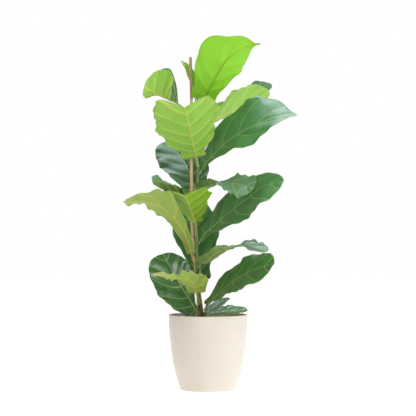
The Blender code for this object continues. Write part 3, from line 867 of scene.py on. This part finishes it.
# ---- pot and soil -----------------------------------------------------------
@dataclass
class Pot:
    """Round tapered tub: bowed side, thin rounded lip, flat underside."""

    height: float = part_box("pot")[1].z / MM
    rim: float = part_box("pot")[1].x / MM
    base: float = 79.0
    wall: float = 4.2
    floor: float = 6.0
    side: tuple[tuple[float, float], ...] = ((109.6, 169), (108.2, 149), (105.4, 120), (102.2, 94),
                                             (98.0, 70), (91.6, 44), (85.6, 22), (81.4, 9.5))
    rounds: int = 160
    tones: tuple[str, str] = ("#CFC6BB", "#D5CDC3")
    mottle: float = 45.4545     # size of the faint clouds in the plastic, mm
    grit: float = .714286       # spark-eroded texture; really .1 mm, drawn coarser so that it shows, mm

    def profile(self) -> list[tuple[float, float]]:
        """Draw the section down the outside, across the floor and up the inside.

        Returns:
            Radius and height of each point, in mm.
        """
        half = self.wall / 2
        quarter = np.linspace(0, math.pi / 2, 6)
        outer = [(self.rim - half + half * math.sin(a), self.height - half + half * math.cos(a))
                 for a in quarter]
        knots = [outer[-1]] + list(self.side)
        bowed = [tuple(p) for p in spline(knots, np.linspace(0, len(knots) - 1, 40))][1:]
        foot = [(self.base + 1.6, 6.4), (self.base + .9, 4.2), (self.base, 2.0), (self.base - 1.6, .6),
                (self.base - 4, 0.0), (0.0, 0.0)]
        inside = [(0.0, self.floor), (self.base - 8, self.floor)]
        inside += [(r - self.wall, h) for r, h in reversed(bowed) if h > self.floor + 3]
        lip = [(self.rim - half - half * math.cos(a), self.height - half + half * math.sin(a))
               for a in quarter][:-1]
        return outer + bowed + foot + inside + lip

    def plastic(self) -> bpy.types.Material:
        """Build the tub's material: moulded polypropylene.

        To the eye it is a warm cream, slightly milky, with a fine texture that turns its gloss satin.

        Returns:
            The material.
        """
        mat, tree, shader = shader_of("moulded_cream_polypropylene", IOR=1.49, Roughness=.42,
                                      Subsurface_Weight=.25, Subsurface_Scale=.008)
        shader.inputs["Subsurface Radius"].default_value = (1.0, .9, .8)
        place = add(tree, "TexCoord").outputs["Object"]
        mottle = add(tree, "TexNoise", {"Vector": place, "Scale": 1000 / self.mottle, "Detail": 2.0})
        deep, light = (linear(tone) for tone in self.tones)
        tone = add(tree, "Mix", {0: mottle.outputs["Fac"], 6: deep, 7: light}, data_type="RGBA")
        tree.links.new(tone.outputs[2], shader.inputs["Base Color"])
        grain = add(tree, "TexNoise", {"Vector": place, "Scale": 1000 / self.grit, "Detail": 2.0})
        bump = add(tree, "Bump", {"Height": grain.outputs["Fac"], "Strength": .25, "Distance": .00012})
        tree.links.new(bump.outputs["Normal"], shader.inputs["Normal"])
        return mat

    def build(self) -> bpy.types.Object:
        """Spin the profile into the tub.

        Returns:
            The tub.
        """
        shape = bmesh.new()
        line = [shape.verts.new((r * MM, 0.0, h * MM)) for r, h in self.profile()]
        edges = [shape.edges.new(pair) for pair in zip(line, line[1:] + line[:1])]
        bmesh.ops.spin(shape, geom=line + edges, axis=(0, 0, 1), cent=(0, 0, 0), steps=self.rounds,
                       angle=math.tau, use_merge=True)
        bmesh.ops.remove_doubles(shape, verts=shape.verts, dist=1e-6)
        bmesh.ops.dissolve_degenerate(shape, edges=shape.edges, dist=1e-7)
        bmesh.ops.recalc_face_normals(shape, faces=shape.faces)
        return finish_piece(shape, "round_tub", [self.plastic()], ("pot",))


@dataclass
class Soil:
    """Potting mix: a slightly domed, crumbly surface with loose crumbs on it."""

    radius: float = 104.6
    top: float = 182.0
    crown: float = 4.0
    depth: float = 14.0
    rounds: int = 120           # steps round the bed
    loose: int = 420            # how many crumbs lie on it
    seed: int = 11
    crumb: float = 3.84615        # size of a crumb, mm
    dust: float = 2.38095         # size of the dust and fibres between them, mm
    tones: tuple[str, str] = ("#1C1410", "#5A4232")

    def mix(self) -> bpy.types.Material:
        """Build the soil's material: moist peat mix, loose.

        To the eye it is near-black and crumbly, with paler fibres between the crumbs.

        Returns:
            The material.
        """
        mat, tree, shader = shader_of("moist_peat_mix", IOR=1.4, Roughness=.9)
        place = add(tree, "TexCoord").outputs["Object"]
        crumb = add(tree, "TexVoronoi", {"Vector": place, "Scale": 1000 / self.crumb})
        dust = add(tree, "TexNoise", {"Vector": place, "Scale": 1000 / self.dust, "Detail": 5.0})
        ramp = add(tree, "ValToRGB", {"Fac": dust.outputs["Fac"]})
        for stop, tone, share in zip(ramp.color_ramp.elements, self.tones, (.3, .75)):
            stop.color, stop.position = linear(tone), share
        tree.links.new(ramp.outputs["Color"], shader.inputs["Base Color"])
        height = add(tree, "Math", {0: crumb.outputs["Distance"], 1: dust.outputs["Fac"]},
                     operation="ADD")
        bump = add(tree, "Bump", {"Height": height.outputs[0], "Strength": .9, "Distance": .0015})
        tree.links.new(bump.outputs["Normal"], shader.inputs["Normal"])
        return mat

    def surface(self, x: float, y: float) -> float:
        """Find the height of the soil.

        Args:
            x: Place to the right, in mm.
            y: Place to the back, in mm.

        Returns:
            Height in mm.
        """
        share = min(math.hypot(x, y) / self.radius, 1.0)
        lumps = noise.noise(Vector((x, y, 0)) * .045) * 2.2 + noise.noise(Vector((x, y, 7)) * .16) * 1.3
        return self.top + self.crown * (1 - share ** 2) + lumps * (1 - .6 * share ** 4) - 1.0

    def build(self) -> None:
        """Model the bed and its loose crumbs."""
        mat = self.mix()
        shape = bmesh.new()
        line = [shape.verts.new((r * MM, 0.0, 0.0)) for r in np.linspace(0, self.radius, 44)]
        edges = [shape.edges.new(pair) for pair in zip(line, line[1:])]
        bmesh.ops.spin(shape, geom=line + edges, axis=(0, 0, 1), cent=(0, 0, 0), steps=self.rounds,
                       angle=math.tau, use_merge=True)
        bmesh.ops.remove_doubles(shape, verts=shape.verts, dist=1e-6)
        rim = [edge for edge in shape.edges if edge.is_boundary]
        for vert in shape.verts:
            vert.co.z = self.surface(vert.co.x / MM, vert.co.y / MM) * MM
        wall = bmesh.ops.extrude_edge_only(shape, edges=rim)["geom"]
        for vert in (part for part in wall if isinstance(part, bmesh.types.BMVert)):
            vert.co.z = (self.top - self.depth) * MM
        bmesh.ops.holes_fill(shape, edges=[edge for edge in shape.edges if edge.is_boundary], sides=0)
        bmesh.ops.recalc_face_normals(shape, faces=shape.faces)
        finish_piece(shape, "soil_bed", [mat], ("potting_soil",))
        self.crumbs(mat)

    def crumbs(self, mat: bpy.types.Material) -> None:
        """Scatter loose crumbs over the bed.

        Args:
            mat: The potting mix.
        """
        pick = np.random.default_rng(self.seed)
        shape = bmesh.new()
        for _ in range(self.loose):
            far = (self.radius - 5) * math.sqrt(pick.random())
            turn = pick.random() * math.tau
            x, y = far * math.cos(turn), far * math.sin(turn)
            size = pick.uniform(.9, 2.6)
            made = bmesh.ops.create_icosphere(shape, subdivisions=1, radius=size * MM)["verts"]
            stretch = Vector(pick.uniform(.6, 1.3, 3))
            for vert in made:
                vert.co = Vector(a * b for a, b in zip(vert.co, stretch)) * pick.uniform(.85, 1.15)
            bmesh.ops.rotate(shape, verts=made, cent=(0, 0, 0),
                             matrix=Vector(pick.uniform(-1, 1, 3)).to_track_quat("Z", "Y").to_matrix())
            bmesh.ops.translate(shape, verts=made, vec=Vector((x, y, self.surface(x, y) + .3 * size)) * MM)
        finish_piece(shape, "loose_crumbs", [mat])


# ---- the studio -------------------------------------------------------------
@dataclass
class Studio:
    """White sweep, soft lights and the camera."""

    lens: float = 86.5
    stand: Point = (0.0, -2.82, 0.375)
    pitch: float = math.atan(47 / 1000)
    floor_glow: float = .82     # how bright the floor shines by itself, so that it fades into the white
    room: Tone = (.46, .46, .45, 1)
    room_left: Tone = (.52, .30, .15, 1)
    room_top: Tone = (.12, .14, .16, 1)

    def camera(self) -> None:
        """Place the camera level with the middle of the plant, looking slightly up."""
        data = bpy.data.cameras.new("camera")
        data.lens = self.lens
        data.sensor_width = 36.0
        body = bpy.data.objects.new("camera", data)
        body.location = self.stand
        body.rotation_euler = (math.pi / 2 + self.pitch, 0.0, 0.0)
        bpy.context.scene.collection.objects.link(body)
        bpy.context.scene.camera = body

    def floor(self) -> None:
        """Lay the pale floor."""
        shape = bmesh.new()
        bmesh.ops.create_circle(shape, cap_ends=True, segments=96, radius=14.0)
        mesh = bpy.data.meshes.new("studio_floor")
        shape.to_mesh(mesh)
        shape.free()
        floor = bpy.data.objects.new("studio_floor", mesh)
        bpy.context.scene.collection.objects.link(floor)
        mat, _, shader = shader_of("pale_studio_floor", Roughness=.9)
        shader.inputs["Base Color"].default_value = linear("#FBFBFA")
        shader.inputs["Specular IOR Level"].default_value = 0.0
        shader.inputs["Emission Color"].default_value = (1, 1, 1, 1)
        shader.inputs["Emission Strength"].default_value = self.floor_glow
        mesh.materials.append(mat)

    def surround(self) -> None:
        """Light the room: white to look at, and as a light dimmer overhead and warmer to the left."""
        world = bpy.data.worlds.new("studio_surround")
        bpy.context.scene.world = world
        world.use_nodes = True
        tree = world.node_tree
        way = add(tree, "SeparateXYZ", {"Vector": add(tree, "TexCoord").outputs["Generated"]})
        up = add(tree, "MapRange", {"Value": way.outputs["Z"], "From Min": .1, "From Max": .8},
                 interpolation_type="SMOOTHSTEP")
        left = add(tree, "MapRange", {"Value": way.outputs["X"], "From Min": .3, "From Max": -.8},
                   interpolation_type="SMOOTHSTEP")
        sides = add(tree, "Mix", {0: left.outputs["Result"], 6: self.room, 7: self.room_left},
                    data_type="RGBA")
        room = add(tree, "Mix", {0: up.outputs["Result"], 6: sides.outputs[2], 7: self.room_top},
                   data_type="RGBA")
        seen = add(tree, "Mix", {0: add(tree, "LightPath").outputs["Is Camera Ray"], 6: room.outputs[2],
                                 7: (1, 1, 1, 1)}, data_type="RGBA")
        tree.links.new(seen.outputs[2], tree.nodes["Background"].inputs["Color"])

    def lamp(self, name: str, place: Point, aim: Point, size: float, power: float, tone: str) -> None:
        """Hang one soft square light.

        Args:
            name: Name of the light.
            place: Where it hangs, in metres.
            aim: What it points at.
            size: Side of the square, in metres.
            power: Power in watts.
            tone: Colour of the light.
        """
        data = bpy.data.lights.new(name, "AREA")
        data.shape = "SQUARE"
        data.size = size
        data.energy = power
        data.color = linear(tone)[:3]
        light = bpy.data.objects.new(name, data)
        light.location = place
        light.rotation_euler = (Vector(aim) - Vector(place)).to_track_quat("-Z", "Y").to_euler()
        bpy.context.scene.collection.objects.link(light)

    def build(self) -> None:
        """Set up the floor, the lights, the white surround and the camera."""
        self.floor()
        self.surround()
        self.lamp("key", (1.7, -2.0, 1.9), (0, 0, .5), 1.3, 52, "#FFFEFC")
        self.lamp("top_window", (-.2, .6, 2.9), (-.05, 0, .5), 1.9, 48, "#E8F2FF")
        bpy.context.scene.view_settings.view_transform = "Standard"
        bpy.context.scene.view_settings.look = "None"
        self.camera()


# ---- the plant --------------------------------------------------------------
@dataclass
class Plant:
    """The whole potted plant."""

    stem: Stem
    stake: Stake
    leaves: tuple[Leaf, ...]
    buds: Buds
    pot: Pot = field(default_factory=Pot)
    soil: Soil = field(default_factory=Soil)

    def build(self) -> None:
        """Build every sub-assembly in order."""
        self.pot.build()
        self.soil.build()
        self.stem.build()
        self.stake.build()
        for index, leaf in enumerate(self.leaves, 1):
            leaf.phase = index / 10
            leaf.build(self.stem)
        self.buds.build(self.stem)


STEM_LINE = ((-14, 0, 170), (-14, 0, 190), (-18, 0, 222), (-23, 0, 257), (-29, 0, 300), (-32, 0, 335),
             (-33, 0, 375), (-32, 0, 415), (-33, 0, 460), (-32, 0, 520), (-31, 0, 573), (-28, 0, 625),
             (-31, 0, 665), (-31, 0, 740), (-30, 0, 810))
STAKE_LINE = ((-25, 11, 170), (-25, 11, 205), (-30, 11, 270), (-35, 10, 339), (-38, 9, 375),
              (-42, 6, 414), (-46, 4, 471), (-47, 2, 552), (-47, 1, 657), (-47, 1, 817), (-50, 2, 938))
SCALES = ((224, 200), (272, 340), (330, 20), (372, 215), (420, 180), (470, 335), (592, 150), (640, 30),
          (676, 200))                # height of each dried scale and the way it faces, in degrees

# upper side, its deep tone and its veins; underside, its deep tone and its veins; rim, gloss, glow
LIME = LeafTones("#86C23A", "#6AA826", "#C3D98A", "#90C828", "#6CB018", "#73951C", "#8A8F2A", .34, .3)
TENDER = LeafTones("#A2DC4A", "#8CCB34", "#C3D98A", "#A2DC4A", "#8CCB34", "#B7C94A", "#A9B24A", .4, .3)
FRESH = LeafTones("#4B7A45", "#2F6134", "#A9BE78", "#8ABA48", "#70A030", "#C3BC5C", "#B0A55C", .3, .18)
WARM = replace(FRESH, under="#80AC26", under_deep="#6A9618", under_vein="#C3BC50")
OLIVE = replace(FRESH, under="#8AA54A", under_deep="#74903A", under_vein="#C4A850", glow=.14)
GREEN = LeafTones("#4F9455", "#2E6C3B", "#A3BA74", "#6F9648", "#587F38", "#B4B36C")
MOSS = replace(GREEN, upper="#46883E", upper_deep="#286429", upper_vein="#ACBC70")
# PAINTED_SHEEN: its upper tones are lightened and tinted blue-grey as a painted sheen, on top of its real
# waxed coat
PAINTED_SHEEN = LeafTones("#6A9A72", "#487F55", "#A9B878", "#8FAE62", "#76984A", "#B4B36C", wax=.8)
DEEP = LeafTones("#3A733A", "#25542B", "#8CA65E", "#5E8440", "#4A6E31", "#A0A560", wax=.35)
MATT = replace(DEEP, upper="#3F7A34", upper_deep="#285A27", gloss=.55, wax=.05)
# SHADED is DEEP darkened as painted shade, for the leaf low on the left
SHADED = replace(DEEP, upper="#2F652A", upper_deep="#1A491C", upper_vein="#8CA258")

LEAVES = (
    Leaf("leaf_top_lime", 762, ((-8, -10, 818), (14, -28, 858), (53, -48, 919), (104, -55, 955),
          (146, -60, 963)), ((-.1, .95, .3), (-.1, .95, .3), (.2, .6, .8)), (40, 52, 68, 62, 14),
         (45, 64, 84, 50, 6), fold_left=(40, 36), fold_right=(4, 6), curl_left=(-20, -15), wave=2,
         quilt=1.3, age=Age.YOUNG, tones=LIME),
    Leaf("leaf_new_narrow", 800, ((-36, 9, 838), (-45, 15, 873), (-58, 16, 907), (-77, 14, 929)),
         ((.3, -.9, .2), (.3, -.9, .2)), (3, 10, 14, 11, 5), (3, 10, 14, 11, 5), fold_left=(25, 25),
         fold_right=(25, 25), wave=0, age=Age.YOUNG, tones=TENDER, quilt=.4),
    Leaf("leaf_upper_front", 626, ((-34, -25, 652), (-47, -75, 708), (-57, -110, 748), (-64, -128, 775)),
         ((-.12, .62, .8), (-.12, .6, .8), (-.1, .75, .6)), (30, 60, 78, 98, 92), (44, 68, 92, 92, 82),
         fold_left=(8, 30), fold_right=(12, 10), notch=(.02, .22), blunt=(.75, .75), wave=4, ruffle=.7,
         quilt=1.5, age=Age.HALF_GROWN, tones=FRESH),
    Leaf("leaf_upper_left", 768, ((-84, -25, 799), (-124, -90, 809), (-151, -140, 817), (-171, -165, 824)),
         ((-.8, .5, .1), (-.8, .5, .1)), (3, 16, 68, 80, 56), (112, 98, 50, 30, 22), fold_left=(5, 0),
         fold_right=(156, 142, 60, 15), cupped=True, wave=2, age=Age.HALF_GROWN, tones=FRESH),
    Leaf("leaf_upper_right", 701, ((-3, 8, 744), (40, 35, 776), (107, 65, 816), (181, 85, 842)),
         ((-.1, .4, .9), (0, .45, .9)), (50, 50, 60, 55, 30), (70, 70, 80, 70, 36), fold_left=(10, 5),
         fold_right=(10, 5), wave=5, tones=FRESH),
    Leaf("leaf_right_broad", 603, ((-11, -15, 628), (53, -50, 689), (113, -85, 724), (183, -110, 751),
          (241, -125, 754)), ((-.25, -.62, .72), (-.2, -.75, .6), (.1, -.6, .8)), (48, 78, 104, 106, 24),
         (26, 46, 80, 66, 16), fold_left=(4, 2), fold_right=(12, 4), blunt=(.4, .5), wave=4),
    Leaf("leaf_back_right", 735, ((-4, 34, 770), (60, 91, 797), (126, 138, 847), (180, 168, 893)),
         ((-.3, -.6, .7), (-.3, -.6, .7)), (8, 12, 28, 46, 38), (8, 12, 28, 46, 38), wave=3, tones=MATT),
    Leaf("leaf_back_left_upper", 542, ((-37, 24, 560), (-55, 58, 617), (-82, 95, 667), (-124, 125, 712)),
         ((.1, -.75, .65), (.1, -.75, .65)), (40, 62, 80, 76, 52), (42, 56, 66, 60, 45), fold_left=(5, 5),
         fold_right=(25, 15), wave=4, quilt=1.0, tones=DEEP),
    Leaf("leaf_left_folded", 513, ((-39, -20, 532), (-75, -62, 535), (-114, -105, 549), (-148, -135, 566)),
         ((.1, -.6, .8), (.1, -.6, .8)), (24, 26, 29, 28, 20), (22, 42, 66, 66, 46), fold_left=(78, 72),
         fold_right=(10, 5), wave=3, tones=PAINTED_SHEEN),
    Leaf("leaf_left_arching", 350, ((-48, -16, 383), (-69, -60, 441), (-109, -100, 492), (-156, -130, 518),
          (-223, -165, 518)), ((-.2, .42, .85), (-.1, .42, .88), (0, .3, .95)), (14, 16, 35, 66, 32),
         (14, 20, 34, 42, 34), wave=5, ruffle=1.2, quilt=1.5, age=Age.HALF_GROWN, tones=OLIVE),
    Leaf("leaf_centre_front", 428, ((-36, -22, 467), (-47, -75, 501), (-57, -120, 526), (-64, -150, 535)),
         ((-.1, .35, .93), (0, .4, .9)), (24, 38, 54, 68, 62), (26, 43, 59, 68, 57), fold_left=(10, 14),
         fold_right=(30, 24), notch=(.04, .04), wave=3, ruffle=.8, quilt=1.5, tones=WARM),
    Leaf("leaf_right_twisted", 530, ((-25, -14, 560), (0, -38, 571), (30, -62, 575), (79, -90, 569),
          (125, -115, 556)), ((0, .7, .7), (0, .35, .95), (0, -.3, .95), (0, -.75, .65), (0, -.8, .6)),
         (20, 26, 40, 36, 38), (20, 26, 46, 56, 50), fold_left=(10, 10), fold_right=(10, 10), wave=4,
         ruffle=.8, tones=PAINTED_SHEEN),
    Leaf("leaf_right_long", 406, ((-14, -16, 428), (42, -55, 477), (96, -95, 519), (148, -130, 558),
          (203, -150, 573)), ((-.3, -.65, .7), (-.2, -.7, .7), (.1, -.6, .8)), (38, 60, 84, 62, 36),
         (24, 48, 90, 108, 80), wave=4, tones=GREEN),
    Leaf("leaf_back_tall", 288, ((-17, 25, 312), (-30, 54, 384), (-38, 82, 459), (-44, 105, 536)),
         ((0, -.8, .6), (0, -.8, .6)), (24, 38, 66, 66, 40), (27, 44, 70, 62, 40), wave=4, tones=DEEP),
    Leaf("leaf_right_arching", 310, ((-17, -16, 353), (11, -45, 372), (47, -75, 391), (103, -112, 399),
          (158, -140, 383)), ((-.2, .5, .85), (0, .2, .95), (.1, -.25, .95), (.3, -.4, .85)),
         (26, 28, 40, 54, 30), (24, 26, 40, 60, 34), wave=5, ruffle=.8, tones=PAINTED_SHEEN),
    Leaf("leaf_low_right", 206, ((-3, -21, 236), (50, -55, 287), (106, -95, 326), (178, -138, 353)),
         ((-.2, -.55, .8), (-.1, -.6, .8)), (23, 48, 66, 64, 44), (14, 42, 80, 98, 74), wave=4, tones=MOSS),
    Leaf("leaf_low_back", 198, ((-4, 22, 216), (18, 52, 226), (40, 82, 240), (62, 110, 250)),
         ((-.2, -.6, .8), (-.2, -.6, .8)), (14, 16, 18, 15, 8), (14, 16, 18, 15, 8), wave=1, ruffle=.1,
         quilt=.8, tones=DEEP),
    Leaf("leaf_over_rim", 196, ((0, -10, 210), (39, -15, 216), (76, -10, 217), (111, -5, 222)),
         ((0, -.28, 1), (0, -.28, 1)), (28, 34, 40, 36, 20), (28, 34, 40, 36, 20), wave=2, quilt=.8,
         tones=MOSS),
    Leaf("leaf_low_left", 207, ((-34, -10, 219), (-58, -21, 259), (-83, -27, 301), (-105, -25, 339),
          (-128, -12, 378)), ((.3, -.8, .5), (.2, -.85, .5), (0, -.4, .9)), (44, 64, 80, 78, 52),
         (12, 27, 56, 54, 36), wave=4, quilt=1.6, tones=SHADED),
    Leaf("leaf_low_front", 240, ((-33, -46, 272), (-38, -80, 297), (-57, -115, 312), (-99, -145, 314),
          (-148, -165, 325)), ((0, .5, .85), (0, .4, .9), (0, .2, .97), (0, .05, 1)), (30, 40, 45, 45, 30),
         (28, 38, 45, 45, 30), wave=4, ruffle=1.2, quilt=1.5, age=Age.HALF_GROWN, tones=OLIVE),
)


def main() -> None:
    """Build the plant and the studio."""
    logging.basicConfig(level=logging.INFO, format="%(message)s")
    stem = Stem(STEM_LINE, nodes=tuple(leaf.node for leaf in LEAVES))
    Plant(stem, Stake(STAKE_LINE), LEAVES, Buds(SCALES, STEM_LINE[-1])).build()
    Studio().build()


if __name__ == "__main__":
    main()
